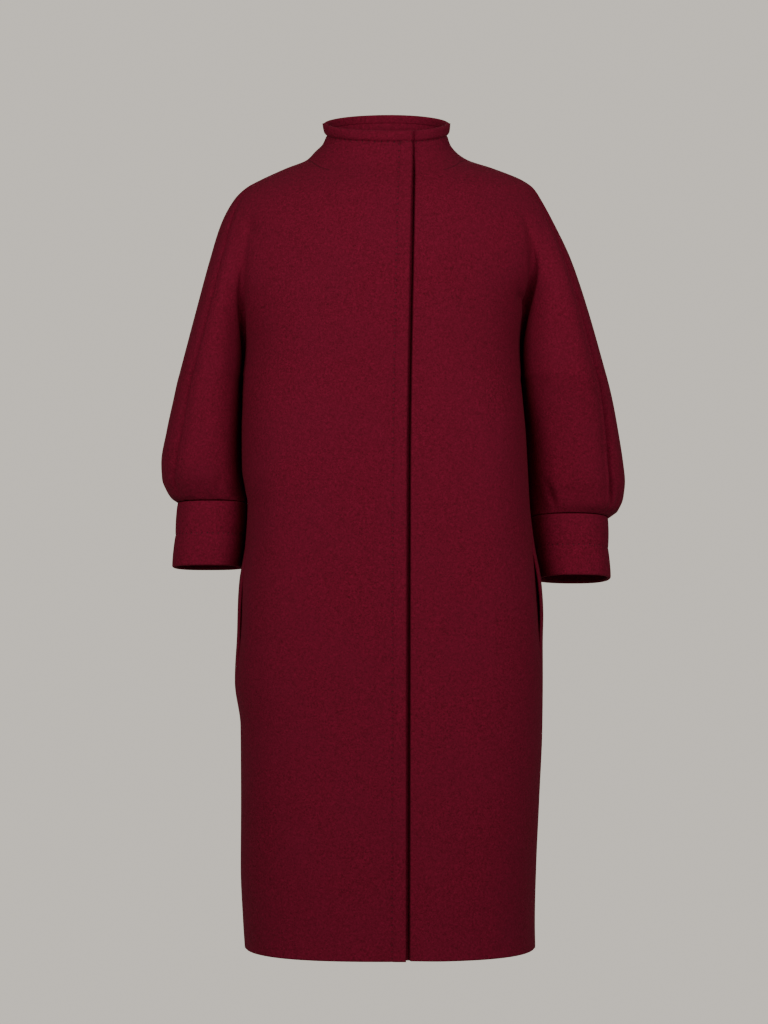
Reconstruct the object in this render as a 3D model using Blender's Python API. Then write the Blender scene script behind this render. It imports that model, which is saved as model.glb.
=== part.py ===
"""Cocoon coat in felted wool: kimono cut, funnel collar, balloon sleeves gathered into deep cuffs.

The coat is worked out from level sections. Down to the underarm one section holds body and sleeves
together, pinched where a fold runs between them; from there the body and each sleeve have sections of
their own. A net of points runs over all of them, the panels are cut out of that net, and every panel is
a wall that reaches inwards from it. Left and right are as seen from the front: X runs to the right, Y to
the back and Z up. The origin lies in the neck, level with the points where the shoulders meet it.
"""

import bpy
import numpy as np

# Driving sizes in metres
MM = 0.001
WALL = 0.0028
SEAM_HALF_GAP = 0.00015
LAYER_GAP = 0.0006
POCKET_LENGTH = 0.180
POCKET_GAPE = 0.0055
POCKET_LIFT = 0.0015
POCKET_RAMP = 0.030
POCKET_END = 0.022
POCKET_FACING_WALL = 0.0022
FACING_GAP = 0.0018
FACING_TURN = 0.004
FACING_PLACES = np.array([-0.016, -0.008, 0.0012, 0.008, 0.017])
SEAM_GROOVE_WIDTH = 0.013
GATHER_END = 0.006
LAP_RAMP = 0.045
SPLIT_HEIGHT = -0.270
CROTCH_REACH = 0.025
FOLD_SOFTNESS = 0.02
FOLD_REACH = 1.6

# Points on a stretch of the net, counted as steps
LAP_STEPS = 2
FRONT_STEPS = 8
SLEEVE_STEPS = 9
BACK_STEPS = 8

WOOL_COLOUR = (0.098, 0.0065, 0.0155, 1.0)
WOOL_ROUGHNESS = 0.95


def table(columns, rows):
    """A table with named columns, a row per level. Its sizes are in millimetres and ratios stay as they are."""
    names = columns.split()
    values = np.array(rows, float).T
    ratios = ("square", "tilt", "pinch", "_at", "around")
    return {name: v if name.endswith(ratios) else v * MM for name, v in zip(names, values)}


# The side view of the body, collar to hem: how far it reaches before and behind the arms
PROFILE = table("height front back", [
    (46, 60, 70),
    (30, 61, 70),
    (10, 65, 74),
    (0, 69, 78),
    (-10, 75, 84),
    (-25, 84, 92),
    (-50, 95, 103),
    (-80, 105, 112),
    (-125, 115, 121),
    (-185, 122, 128),
    (-270, 127, 134),
    (-400, 135, 143),
    (-525, 139, 150),
    (-650, 141, 152),
    (-800, 142, 147),
    (-980, 139, 133),
])

# The whole section from the collar to the underarm: half widths, how square it is, how much the back is
# raised, where the side fold runs, how far inside each side the overarm seam lies, and how far it has sunk
YOKE = table("height left right square tilt crease_at left_inset right_inset groove_at", [
    (46, 82, 73, 2.0, 0.29, 0.80, 0, 0, 0.0),
    (30, 80.5, 72.5, 2.0, 0.27, 0.80, 0, 0, 0.0),
    (20, 84, 75, 2.0, 0.25, 0.80, 0, 0, 0.0),
    (10, 94, 82.5, 1.9, 0.22, 0.80, 0, 0, 0.0),
    (0, 104, 97, 1.8, 0.18, 0.81, 0, 0, 0.0),
    (-10, 129, 127.5, 1.65, 0.14, 0.82, 0, 0, 0.0),
    (-25, 162, 165, 1.60, 0.09, 0.83, 2, 1, 0.1),
    (-35, 180, 179, 1.65, 0.06, 0.83, 4, 2, 0.2),
    (-50, 195, 189, 1.75, 0.03, 0.83, 8, 3.5, 0.3),
    (-80, 211, 205, 1.95, 0.0, 0.82, 14, 5.5, 0.45),
    (-125, 225, 226, 2.15, 0.0, 0.80, 17, 9, 0.6),
    (-185, 241, 246, 2.35, 0.0, 0.77, 18, 10.5, 0.8),
    (-270, 263, 270, 2.4, 0.0, 0.68, 18, 12, 1.0),
])

# The side fold between body and sleeve: how deep it is pinched, from 0 to 1 at the underarm
FOLD = table("height left_pinch right_pinch", [
    (46, 0.0, 0.0),
    (-55, 0.0, 0.0),
    (-90, 0.04, 0.06),
    (-140, 0.16, 0.24),
    (-190, 0.38, 0.48),
    (-240, 0.76, 0.80),
    (-270, 1.0, 1.0),
])

# The body: half widths, squareness, and the side seam's place from the front (1 is the side)
BODY = table("height left right square seam_at", [
    (46, 70, 62, 2.2, 1.0),
    (-35, 150, 146, 2.2, 1.0),
    (-125, 176, 158, 2.2, 1.0),
    (-185, 179, 158, 2.45, 1.0),
    (-270, 181, 161, 2.8, 1.0),
    (-275, 180, 160, 2.9, 1.0),
    (-300, 180, 161.5, 3.3, 0.97),
    (-340, 181, 165, 3.5, 0.935),
    (-385, 180.5, 167.5, 3.5, 0.88),
    (-412, 176.5, 169, 3.5, 0.84),
    (-430, 173.5, 170, 3.5, 0.82),
    (-480, 176.5, 176, 3.4, 0.785),
    (-525, 184, 184.5, 3.3, 0.77),
    (-580, 189, 189.5, 3.2, 0.77),
    (-650, 193, 190, 3.1, 0.78),
    (-705, 186, 189.5, 3.0, 0.80),
    (-800, 185.5, 185.5, 2.9, 0.835),
    (-880, 186, 182, 2.8, 0.86),
    (-950, 183, 180.5, 2.7, 0.88),
    (-980, 181, 181, 2.7, 0.88),
])

# The sleeves: inner and outer side, depths, middle line, squareness, tilt of the rows over the depth, how
# far inside the outer side the overarm seam lies, and how far it has sunk
SLEEVE_COLUMNS = "height inner outer front back middle square tilt inset groove"
LEFT_SLEEVE = table(SLEEVE_COLUMNS, [
    (-270, 181, 263, 80, 84, 0, 2.3, 0.0, 18, 4.0),
    (-275, 182, 264.5, 80, 84, 0, 2.3, 0.0, 18, 4.0),
    (-300, 181.4, 270, 79, 84, -1, 2.3, 0.0, 19, 4.0),
    (-340, 182.2, 278.5, 78, 82, -3, 2.3, -0.01, 21, 4.0),
    (-380, 181.9, 285, 75, 78, -5, 2.3, -0.03, 21, 3.5),
    (-400, 179.8, 284, 70, 73, -7, 2.3, -0.05, 18, 3.0),
    (-415, 177.2, 278.5, 63, 67, -8, 2.3, -0.065, 16, 2.0),
    (-425, 175.5, 272, 56, 60, -9, 2.4, -0.075, 15, 1.0),
    (-430, 175, 264, 50, 53, -10, 2.5, -0.08, 14, 0.0),
])
RIGHT_SLEEVE = table(SLEEVE_COLUMNS, [
    (-270, 161, 270, 80, 84, 0, 2.3, 0.0, 12, 5.0),
    (-275, 162.2, 271.5, 80, 84, 1, 2.3, 0.0, 12, 5.0),
    (-300, 163, 278, 79, 84, 6, 2.3, 0.0, 13, 5.5),
    (-340, 166, 286, 78, 83, 12, 2.3, -0.01, 15.5, 6.0),
    (-380, 168, 292.5, 76, 80, 15, 2.3, -0.04, 19, 6.0),
    (-405, 169.4, 295, 73, 77, 15, 2.3, -0.07, 20, 5.0),
    (-422, 170.8, 294, 67, 72, 14, 2.3, -0.10, 19, 4.0),
    (-437, 172.5, 289, 60, 64, 12, 2.4, -0.13, 16, 2.0),
    (-447, 174.2, 272.5, 51, 54, 10, 2.5, -0.15, 14, 0.0),
])

# The cuffs, from the seam to the lower edge
LEFT_CUFF = table("height inner outer front back middle square tilt inset", [
    (-430.5, 175, 264, 50, 53, -10, 2.5, -0.08, 14),
    (-470, 178, 266.5, 51, 53, -12, 2.5, -0.08, 14),
    (-511, 183.8, 270.5, 51, 54, -14, 2.5, -0.08, 14),
])
RIGHT_CUFF = table("height inner outer front back middle square tilt inset", [
    (-447.5, 174.2, 272.5, 51, 54, 10, 2.5, -0.15, 14),
    (-480, 177.8, 272.5, 51, 54, 8, 2.5, -0.14, 14),
    (-524, 186, 275.5, 52, 55, 4, 2.5, -0.13, 14),
])

# Folds where the sleeves are gathered: place round the sleeve (1 underarm, 2 overarm seam, 3 underarm
# again), half width in the same measure, depth, and the levels where the fold is deepest and fades out
GATHER_COLUMNS = "around wide_around depth deepest fades"
LEFT_GATHERS = table(GATHER_COLUMNS, [
    (1.35, 0.10, 1.5, -424, -385),
    (1.75, 0.10, 1.2, -424, -390),
    (2.35, 0.12, 2.5, -424, -370),
    (2.68, 0.12, 2.0, -424, -375),
])
RIGHT_GATHERS = table(GATHER_COLUMNS, [
    (1.33, 0.10, 2.5, -434, -390),
    (2.16, 0.10, 3.0, -434, -385),
    (2.40, 0.12, 3.0, -434, -380),
    (2.70, 0.12, 2.0, -434, -385),
])

# The overlap: how far each front reaches past the middle
LAP = table("height reach", [(46, 29), (-100, 25), (-400, 20), (-980, 19)])

# The pockets in the side seams, from the upper end down
POCKET_TOP = {"left": -0.478, "right": -0.455}

# Levels of the net's rows in millimetres
YOKE_LEVELS = (46, 40, 32, 24, 16, 8, 1, -6, -13, -20, -28, -37, -48, -64, -86, -114, -146, -180, -212, -240,
               -258, -270)
BODY_LEVELS = (-270, -275, -300, -340, -385, -430, -475, -520, -565, -610, -655, -705, -770, -850, -920, -980)
LEFT_SLEEVE_LEVELS = (-270, -275, -298, -328, -356, -380, -398, -411, -420, -426, -430)
RIGHT_SLEEVE_LEVELS = (-270, -275, -300, -332, -362, -388, -408, -422, -433, -441, -447)
CUFF_ROWS = 5


def read(source, name, heights):
    """A table's column at the given heights: a cubic through its rows that never swings past them."""
    at, values = source["height"][::-1], source[name][::-1]
    steps = np.diff(at)
    slopes = np.diff(values) / steps
    tangents = np.zeros_like(values)
    same_way = slopes[1:] * slopes[:-1] > 0
    mean = 2 * slopes[1:] * slopes[:-1] / np.where(same_way, slopes[1:] + slopes[:-1], 1)
    tangents[1:-1] = np.where(same_way, mean, 0)
    tangents[0], tangents[-1] = slopes[0], slopes[-1]
    heights = np.clip(heights, at[0], at[-1])
    i = np.clip(np.searchsorted(at, heights) - 1, 0, len(at) - 2)
    t = (heights - at[i]) / steps[i]
    start = (1 + 2 * t) * (1 - t) ** 2 * values[i] + t * (1 - t) ** 2 * steps[i] * tangents[i]
    return start + t ** 2 * (3 - 2 * t) * values[i + 1] + t ** 2 * (t - 1) * steps[i] * tangents[i + 1]


def arch(half_width, front, back, square, samples=361):
    """Half a rounded oval from its front round one side to its back, as x and y."""
    turn = np.linspace(0, np.pi, samples)
    depth = np.where(np.cos(turn) > 0, -front, back)
    x = half_width * np.abs(np.sin(turn)) ** (2 / square)
    return x, depth * np.abs(np.cos(turn)) ** (2 / square)


def lengths(x, y):
    """The length run along a curve at each of its points."""
    return np.concatenate([[0], np.cumsum(np.hypot(np.diff(x), np.diff(y)))])


def along(x, y, at):
    """Points of a curve at the given lengths."""
    run = lengths(x, y)
    return np.stack([np.interp(at, run, x), np.interp(at, run, y)], axis=-1)


def spread(stops, parts):
    """Lengths that share each stretch between two stops by the given parts, the stops counted once."""
    pieces = [np.array([stops[0]])]
    for start, end, part in zip(stops[:-1], stops[1:], parts):
        pieces.append(start + (end - start) * part[1:])
    return np.concatenate(pieces)


def even(steps):
    """Parts from 0 to 1 in even steps."""
    return np.linspace(0, 1, steps + 1)


def front_parts(reach, whole):
    """Parts of the front from its middle to the side: the lap's own steps, then even ones."""
    lap = even(LAP_STEPS) * reach / whole
    rest = reach / whole + (1 - reach / whole) * even(FRONT_STEPS)
    return np.concatenate([lap, rest[1:]])


def outward(x, y):
    """The direction square to a curve in its own plane, on its outer side."""
    dx, dy = np.gradient(x), np.gradient(y)
    size = np.hypot(dx, dy)
    return np.stack([-dy / size, dx / size], axis=-1) * -1


def draw_in(row, depth):
    """A row with each point moved inwards, square to the row, by its own depth."""
    return row - outward(row[:, 0], row[:, 1]) * np.asarray(depth)[:, None]


def dip(away):
    """A soft trough of depth 1 that is gone about two widths away."""
    return np.exp(-away ** 2)


def groove_depth(row, seam, depth):
    """How far each point of a row is drawn in beside the overarm seam, which lies at one of its points."""
    run = lengths(row[:, 0], row[:, 1])
    return depth * dip((run - run[seam]) / SEAM_GROOVE_WIDTH)


def gather_depth(sleeve, gathers, height):
    """How far the gathers draw in each point of a sleeve's row: most just above the cuff, none at its seam."""
    around = 1 + np.arange(2 * SLEEVE_STEPS + 1) / SLEEVE_STEPS
    near_seam = np.clip((height - sleeve["height"][-1]) / GATHER_END, 0, 1)
    total = np.zeros(len(around))
    for place, wide, depth, deepest, fades in zip(*gathers.values()):
        strength = np.clip((fades - height) / (fades - deepest), 0, 1)
        total += depth * strength ** 2 * near_seam * dip((around - place) / wide)
    return total


def body_curve(side, height):
    """The body's half section at one height and the length along it at which the side seam lies."""
    x, y = arch(read(BODY, side, height), read(PROFILE, "front", height), read(PROFILE, "back", height),
                read(BODY, "square", height))
    return x, y, lengths(x, y)[len(x) // 2] * read(BODY, "seam_at", height)


def body_row(side, height):
    """The body's points at one height, from the middle of the front over the side seam to the middle back."""
    x, y, seam = body_curve(side, height)
    whole = lengths(x, y)[-1]
    parts = [front_parts(read(LAP, "reach", height), seam), even(BACK_STEPS)]
    return along(x, y, spread([0, seam, whole], parts))


def ring(inner, outer, front, back, middle, square, inset):
    """Points round an arm, from its inner side over the front and the overarm seam and back again."""
    x, y = arch((outer - inner) / 2, front, back, square)
    side = len(x) // 2
    x = np.concatenate([-x[side::-1], x[1:], -x[-2:side - 1:-1]]) + (inner + outer) / 2
    y = np.concatenate([y[side::-1], y[1:], y[-2:side - 1:-1]]) + middle
    run = lengths(x, y)
    seam = run[np.argmax(x > outer - inset)]
    return along(x, y, spread([0, seam, run[-1]], [even(SLEEVE_STEPS), even(SLEEVE_STEPS)]))


def arm_row(sizes, height):
    """Points round a sleeve or a cuff at one height, from its table."""
    names = "inner", "outer", "front", "back", "middle", "square", "inset"
    return ring(*(read(sizes, name, height) for name in names))


def sleeve_row(sleeve, gathers, height):
    """A sleeve's points at one height, drawn in at the overarm seam and at the gathers."""
    row = arm_row(sleeve, height)
    depth = groove_depth(row, SLEEVE_STEPS, read(sleeve, "groove", height))
    depth += gather_depth(sleeve, gathers, height)
    depth[[0, -1]] = 0
    return draw_in(row, depth)


def yoke_row(side, sleeve, height):
    """One side's points at one height above the underarm: the whole section, drawn in at the side folds.
    There it turns by degrees into the body's section and the sleeve's, which meet at the underarm."""
    first = LAP_STEPS + FRONT_STEPS
    width, inset = read(YOKE, side, height), read(YOKE, side + "_inset", height)
    x, y = arch(width, read(PROFILE, "front", height), read(PROFILE, "back", height), read(YOKE, "square", height))
    run = lengths(x, y)
    half = len(x) // 2
    crease = width * read(YOKE, "crease_at", height)
    fold = np.interp(crease, x[:half + 1], run[:half + 1])
    back_fold = np.interp(-crease, -x[half:], run[half:])
    seam = np.interp(width - inset, x[:half + 1], run[:half + 1])
    parts = [front_parts(read(LAP, "reach", height), fold), even(SLEEVE_STEPS), even(SLEEVE_STEPS), even(BACK_STEPS)]
    whole = along(x, y, spread([0, fold, seam, back_fold, run[-1]], parts))
    limb = [read(sleeve, name, SPLIT_HEIGHT) for name in ("front", "back", "middle", "square")]
    arm = ring(read(BODY, side, height), width, *limb, inset)
    body = body_row(side, height)
    apart = np.concatenate([body[:first + 1], arm[1:-1], body[first:]])
    row = whole + read(FOLD, side + "_pinch", height) * (apart - whole)
    groove = read(sleeve, "groove", SPLIT_HEIGHT) * read(YOKE, "groove_at", height)
    return draw_in(row, groove_depth(row, first + SLEEVE_STEPS, groove))


class Net:
    """A cloth surface: its points, its faces by stretch, how far each point lies from the side seam along
    the cloth, and the direction out of the cloth."""

    def __init__(self):
        self.points = []
        self.from_seam = []
        self.known = {}
        self.faces = {}

    def rows(self, stretch, grid, from_seam=None):
        """Adds a grid of points, sharing those that are there already, and files its faces by stretch."""
        marks = np.ones(grid.shape[:2]) if from_seam is None else from_seam
        ids = np.array([[self.point(p, m) for p, m in zip(*row)] for row in zip(grid, marks)])
        self.faces[stretch] = np.stack([ids[:-1, :-1], ids[1:, :-1], ids[1:, 1:], ids[:-1, 1:]], axis=-1)

    def point(self, position, mark):
        """The number of the point at a position."""
        key = tuple(np.round(np.array(position) / 1e-6).astype(int))
        if key not in self.known:
            self.known[key] = len(self.points)
            self.points.append(position)
            self.from_seam.append(mark)
        return self.known[key]

    def stretches(self, side, panel):
        """The names of all stretches of one side's panel."""
        return [name for name in self.faces if name[:2] == (side, panel)]

    def finish(self):
        """Works out the way out of the cloth at each point. A step of this length away lies a length of 1
        from the faces round it, as nearly as can be, so that a wall keeps its thickness round a fold."""
        self.points = np.array(self.points)
        self.from_seam = np.array(self.from_seam)
        pull = np.zeros_like(self.points)
        spring = np.zeros((len(self.points), 3, 3)) + FOLD_SOFTNESS * np.eye(3)
        for corners in self.faces.values():
            a, b, c, d = (self.points[corners[..., k]] for k in range(4))
            normal = np.cross(c - a, d - b)
            normal /= np.linalg.norm(normal, axis=-1)[..., None]
            for k in range(4):
                np.add.at(pull, corners[..., k], normal)
                np.add.at(spring, corners[..., k], normal[..., None] * normal[..., None, :])
        self.out = np.linalg.solve(spring, pull[..., None])[..., 0]
        size = np.linalg.norm(self.out, axis=1)[:, None]
        self.out *= np.clip(size, 1, FOLD_REACH) / size
        return self


def raise_rows(rows, heights, tilts, sign):
    """Rows of x and y made into points: x for its side, z at the row's height plus its tilt over y."""
    flat = np.array(rows)
    z = np.array(heights)[:, None] + np.array(tilts)[:, None] * flat[..., 1]
    return np.stack([sign * flat[..., 0], flat[..., 1], z], axis=-1)


def sides():
    """Each side's name as seen from the front, its sign in x, its sleeve, cuff, gathers and sleeve levels."""
    yield "left", -1, LEFT_SLEEVE, LEFT_CUFF, LEFT_GATHERS, LEFT_SLEEVE_LEVELS
    yield "right", 1, RIGHT_SLEEVE, RIGHT_CUFF, RIGHT_GATHERS, RIGHT_SLEEVE_LEVELS


def make_net():
    """The whole coat's net, its stretches named by side, panel and part."""
    net = Net()
    first, arm = LAP_STEPS + FRONT_STEPS, SLEEVE_STEPS
    for side, sign, sleeve, _, gathers, sleeve_levels in sides():
        turn = slice(None, None, sign)
        levels = np.array(YOKE_LEVELS) * MM
        yoke = [yoke_row(side, sleeve, height) for height in levels]
        yoke = raise_rows(yoke, levels, read(YOKE, "tilt", levels), sign)
        levels = np.array(BODY_LEVELS) * MM
        flat = [body_row(side, height) for height in levels]
        runs = np.array([lengths(row[:, 0], row[:, 1]) for row in flat])
        marks = runs - runs[:, [first]]
        body = raise_rows(flat, levels, 0 * levels, sign)
        levels = np.array(sleeve_levels) * MM
        limb = [sleeve_row(sleeve, gathers, height) for height in levels]
        limb = raise_rows(limb, levels, read(sleeve, "tilt", levels), sign)
        for panel, cuts in (("lap", slice(0, LAP_STEPS + 1)), ("front", slice(LAP_STEPS, first + 1)),
                            ("back", slice(first, None))):
            net.rows((side, panel, "body"), body[:, cuts][:, turn], marks[:, cuts][:, turn])
        net.rows((side, "lap", "yoke"), yoke[:, :LAP_STEPS + 1][:, turn])
        net.rows((side, "front", "yoke"), yoke[:, LAP_STEPS:first + arm + 1][:, turn])
        net.rows((side, "back", "yoke"), yoke[:, first + arm:][:, turn])
        net.rows((side, "front", "sleeve"), limb[:, :arm + 1][:, turn])
        net.rows((side, "back", "sleeve"), limb[:, arm:][:, turn])
    return net.finish()


def inwards_from_edge(points, faces):
    """For each point on the edge of the faces a step of length 1 into them, along the cloth, and for the
    other points none, with the list of edges."""
    edges = {}
    for face in faces:
        for a, b in zip(face, np.roll(face, -1)):
            edges[(a, b)] = face
    steps = np.zeros_like(points)
    rim = [(a, b) for a, b in edges if (b, a) not in edges]
    for a, b in rim:
        middle = points[edges[(a, b)]].mean(axis=0)
        line = points[b] - points[a]
        line /= np.linalg.norm(line)
        into = middle - points[a]
        into -= into.dot(line) * line
        for end in (a, b):
            steps[end] += into / np.linalg.norm(into)
    size = np.linalg.norm(steps, axis=1)[:, None]
    return steps / np.where(size > 0, size, 1), rim


def shell(name, net, stretches, wall, lift=None, keep=0):
    """A panel as one closed wall: the net's faces in the given stretches outside, the same faces a wall's
    thickness further in, and a strip along the edge. Points lift moves are raised out of the net. Under
    the arms the inside of a panel keeps to its own half, before (-1) or behind (1) the seam."""
    faces = np.concatenate([net.faces[stretch].reshape(-1, 4) for stretch in stretches])
    used, faces = np.unique(faces, return_inverse=True)
    faces = faces.reshape(-1, 4)
    points, out = net.points[used], net.out[used]
    steps, rim = inwards_from_edge(points, faces)
    rise = 0 if lift is None else lift(points, net.from_seam[used])[:, None]
    outer = points + rise * out + SEAM_HALF_GAP * steps
    inner = outer - wall * out
    crotch = np.abs(points[:, 2] - SPLIT_HEIGHT) < CROTCH_REACH
    if keep:
        inside = np.maximum(keep * inner[:, 1], SEAM_HALF_GAP) * keep
        inner[:, 1] = np.where(crotch, inside, inner[:, 1])
    count = len(used)
    faces = np.concatenate([faces[:, [0, 1, 2]], faces[:, [0, 2, 3]]])
    walls = [(b, a, a + count, b + count) for a, b in rim]
    faces = faces.tolist() + (faces[:, ::-1] + count).tolist() + walls
    mesh = bpy.data.meshes.new(name)
    mesh.from_pydata(np.concatenate([outer, inner]).tolist(), [], faces)
    mesh.polygons.foreach_set("use_smooth", [True] * len(faces))
    mesh.materials.append(wool(name))
    piece = bpy.data.objects.new(name, mesh)
    bpy.context.collection.objects.link(piece)
    return piece


def wool(name):
    """Felted wool in deep wine red, soft and without gloss."""
    material = bpy.data.materials.new(name + "_wool")
    material.use_nodes = True
    shader = material.node_tree.nodes["Principled BSDF"]
    shader.inputs["Base Color"].default_value = WOOL_COLOUR
    shader.inputs["Roughness"].default_value = WOOL_ROUGHNESS
    shader.inputs["Metallic"].default_value = 0.0
    return material


def fade(x):
    """A soft step from 0 at 0 to 1 at 1."""
    x = np.clip(x, 0, 1)
    return x * x * (3 - 2 * x)


def pocket_opening(side, heights):
    """How far a pocket gapes at a height, from 0 at its ends to 1 at its middle."""
    down = np.clip((POCKET_TOP[side] - heights) / POCKET_LENGTH, 0, 1)
    return np.sin(down * np.pi) ** 2


def pocket_lift(side, points, from_seam, gape):
    """How far the cloth at a pocket's mouth is raised or, before the seam, sunk."""
    near = fade(1 - np.abs(from_seam) / POCKET_RAMP)
    return gape * near * pocket_opening(side, points[:, 2])


def top_lift(points, from_seam):
    """The front that lies on top only sinks at its pocket's mouth."""
    return pocket_lift("left", points, from_seam, -POCKET_GAPE)


def under_lift(points, from_seam):
    """The front that lies underneath sinks by a wall and a gap as far as the other one reaches over it."""
    beyond = points[:, 0] - read(LAP, "reach", points[:, 2]) - MM
    under = -(WALL + LAYER_GAP) * fade(1 - beyond / LAP_RAMP)
    return under + pocket_lift("right", points, from_seam, -POCKET_GAPE)


def back_lift(points, from_seam):
    """The back stands a little proud at both pockets."""
    left, right = (pocket_lift(side, points, from_seam, POCKET_LIFT) for side in ("left", "right"))
    return np.where(points[:, 0] < 0, left, right)


def pocket_facing(side, sign):
    """The strip that closes a pocket's mouth: it runs from under the front's edge to inside the back's."""
    top = POCKET_TOP[side] + POCKET_END
    levels = [level * MM for level in BODY_LEVELS if top >= level * MM >= top - POCKET_LENGTH - 2 * POCKET_END]
    rows = []
    for height in levels:
        x, y, seam = body_curve(side, height)
        gape = pocket_opening(side, height) * POCKET_GAPE
        row = along(x, y, seam + FACING_PLACES)
        rows.append(draw_in(row, WALL + FACING_GAP + gape * (FACING_PLACES < FACING_TURN)))
    net = Net()
    net.rows("facing", raise_rows(rows, levels, np.zeros(len(levels)), sign)[:, ::sign])
    shell("pocket_" + side, net.finish(), ["facing"], POCKET_FACING_WALL)


def cuff(side, sign, sizes):
    """A cuff: a wall round the arm that widens a little from its seam to its lower edge."""
    levels = np.linspace(sizes["height"][0], sizes["height"][-1], CUFF_ROWS)
    rows = [arm_row(sizes, height) for height in levels]
    net = Net()
    net.rows("cuff", raise_rows(rows, levels, read(sizes, "tilt", levels), sign)[:, ::sign])
    shell("cuff_" + side, net.finish(), ["cuff"], WALL)


def main():
    for old in list(bpy.data.objects):
        bpy.data.objects.remove(old, do_unlink=True)
    net = make_net()
    fronts = {side: net.stretches(side, "front") for side in ("left", "right")}
    laps = net.stretches("left", "lap") + net.stretches("right", "lap")
    backs = net.stretches("left", "back") + net.stretches("right", "back")
    shell("front_left", net, fronts["left"] + laps, WALL, top_lift, keep=-1)
    shell("front_right", net, fronts["right"] + laps, WALL, under_lift, keep=-1)
    shell("back", net, backs, WALL, back_lift, keep=1)
    for side, sign, _, sizes, _, _ in sides():
        cuff(side, sign, sizes)
        pocket_facing(side, sign)


main()
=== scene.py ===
"""The looks of the cocoon coat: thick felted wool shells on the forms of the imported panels.

Every panel is a grid of points. Its rows are level sections of the coat, its columns are lengths along
them, and both come from the same named sizes as the solids. Lengths are in metres. X runs to the viewer's
right, Y to the back and Z up, from the neck.
"""

import bpy
import numpy as np
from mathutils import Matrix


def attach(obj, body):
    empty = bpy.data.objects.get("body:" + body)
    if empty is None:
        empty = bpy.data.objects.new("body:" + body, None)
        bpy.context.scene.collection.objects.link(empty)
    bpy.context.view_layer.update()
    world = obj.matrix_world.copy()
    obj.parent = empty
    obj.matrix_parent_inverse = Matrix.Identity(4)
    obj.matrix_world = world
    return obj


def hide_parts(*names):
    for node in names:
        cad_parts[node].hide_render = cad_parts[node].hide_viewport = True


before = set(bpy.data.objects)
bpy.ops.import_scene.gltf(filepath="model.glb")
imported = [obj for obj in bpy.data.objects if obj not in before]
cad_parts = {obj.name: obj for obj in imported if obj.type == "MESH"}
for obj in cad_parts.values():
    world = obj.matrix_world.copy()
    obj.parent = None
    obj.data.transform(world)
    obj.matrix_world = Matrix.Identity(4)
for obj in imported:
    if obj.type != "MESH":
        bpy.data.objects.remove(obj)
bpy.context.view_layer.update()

MM = 0.001
WALL = 0.0028
SEAM_HALF_GAP = 0.00003
LAYER_GAP = 0.0012
SPLIT_HEIGHT = -0.270
CROTCH_REACH = 0.025
LAP_RAMP = 0.045
SAMPLES = 721
ROLL_STEPS = 7
ROLL_SHARE, SEAM_ROLL_SHARE = 0.42, 0.12

# The front edge, the collar's rim and the cuffs are two layers of cloth, held by a line of stitches. They
# are plump up to it. The inside pads the rim and the hem as well, by these shares of how plump they are.
EDGE_STITCH = 0.017
COLLAR_STITCH = 0.015
EDGE_PLUMP, COLLAR_PLUMP, CUFF_PLUMP = 0.0018, 0.0026, 0.0012
RIM_PAD, HEM_PAD, EDGE_PAD = 1.7, 0.9, 1.5
COLLAR_TROUGH, EDGE_TROUGH, TROUGH_WIDTH = 0.0016, 0.0005, 0.0021
COLLAR_TOP = 0.046
HEM, HEM_TURNING = -0.980, 0.030
STITCH_PITCH, CUFF_STITCH_PITCH = 0.008, 0.007
THREAD, THREAD_LENGTH = 0.0004, 0.0028

# The pockets: the strip behind each mouth goes from inside the front to inside the back
POCKET_LENGTH = 0.180
POCKET_GAPE = {"left": 0.0020, "right": 0.0045}
POCKET_LIFT = 0.0015
POCKET_RAMP = 0.030
POCKET_END = 0.022
STRIP_FROM, STRIP_TO = -0.016, 0.017
POCKET_FACING_WALL = 0.0022
FACING_GAP = 0.0018
GATHER_END = 0.006
SEAM_GROOVE_WIDTH = 0.013

# What each point of a grid carries: its place, its distance from the front's free edge, its row's height,
# its distances from the overarm seam and from the side seam or the fold above it, its place round the
# sleeve, and the length run along its row
EDGE, HEIGHT, SEAM, SIDE, AROUND, RUN = range(3, 9)

OTHER_SIDE = {"left": "right", "right": "left"}
SIGN = {"left": -1, "right": 1}


def table(columns, rows):
    """A table with named columns, a row per level. Sizes are in millimetres, and ratios stay as they are."""
    names = columns.split()
    values = np.array(rows, float).T
    ratios = ("square", "tilt", "pinch", "_at", "around")
    return {name: v if name.endswith(ratios) else v * MM for name, v in zip(names, values)}


# The side view of the body, collar to hem: how far it reaches before and behind the arms
PROFILE = table("height front back", [
    (46, 60, 70),
    (30, 61, 70),
    (10, 65, 74),
    (0, 69, 78),
    (-10, 75, 84),
    (-25, 84, 92),
    (-50, 95, 103),
    (-80, 105, 112),
    (-125, 115, 121),
    (-185, 122, 128),
    (-270, 127, 134),
    (-400, 135, 143),
    (-525, 139, 150),
    (-650, 141, 152),
    (-800, 142, 147),
    (-980, 139, 133),
])

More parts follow.
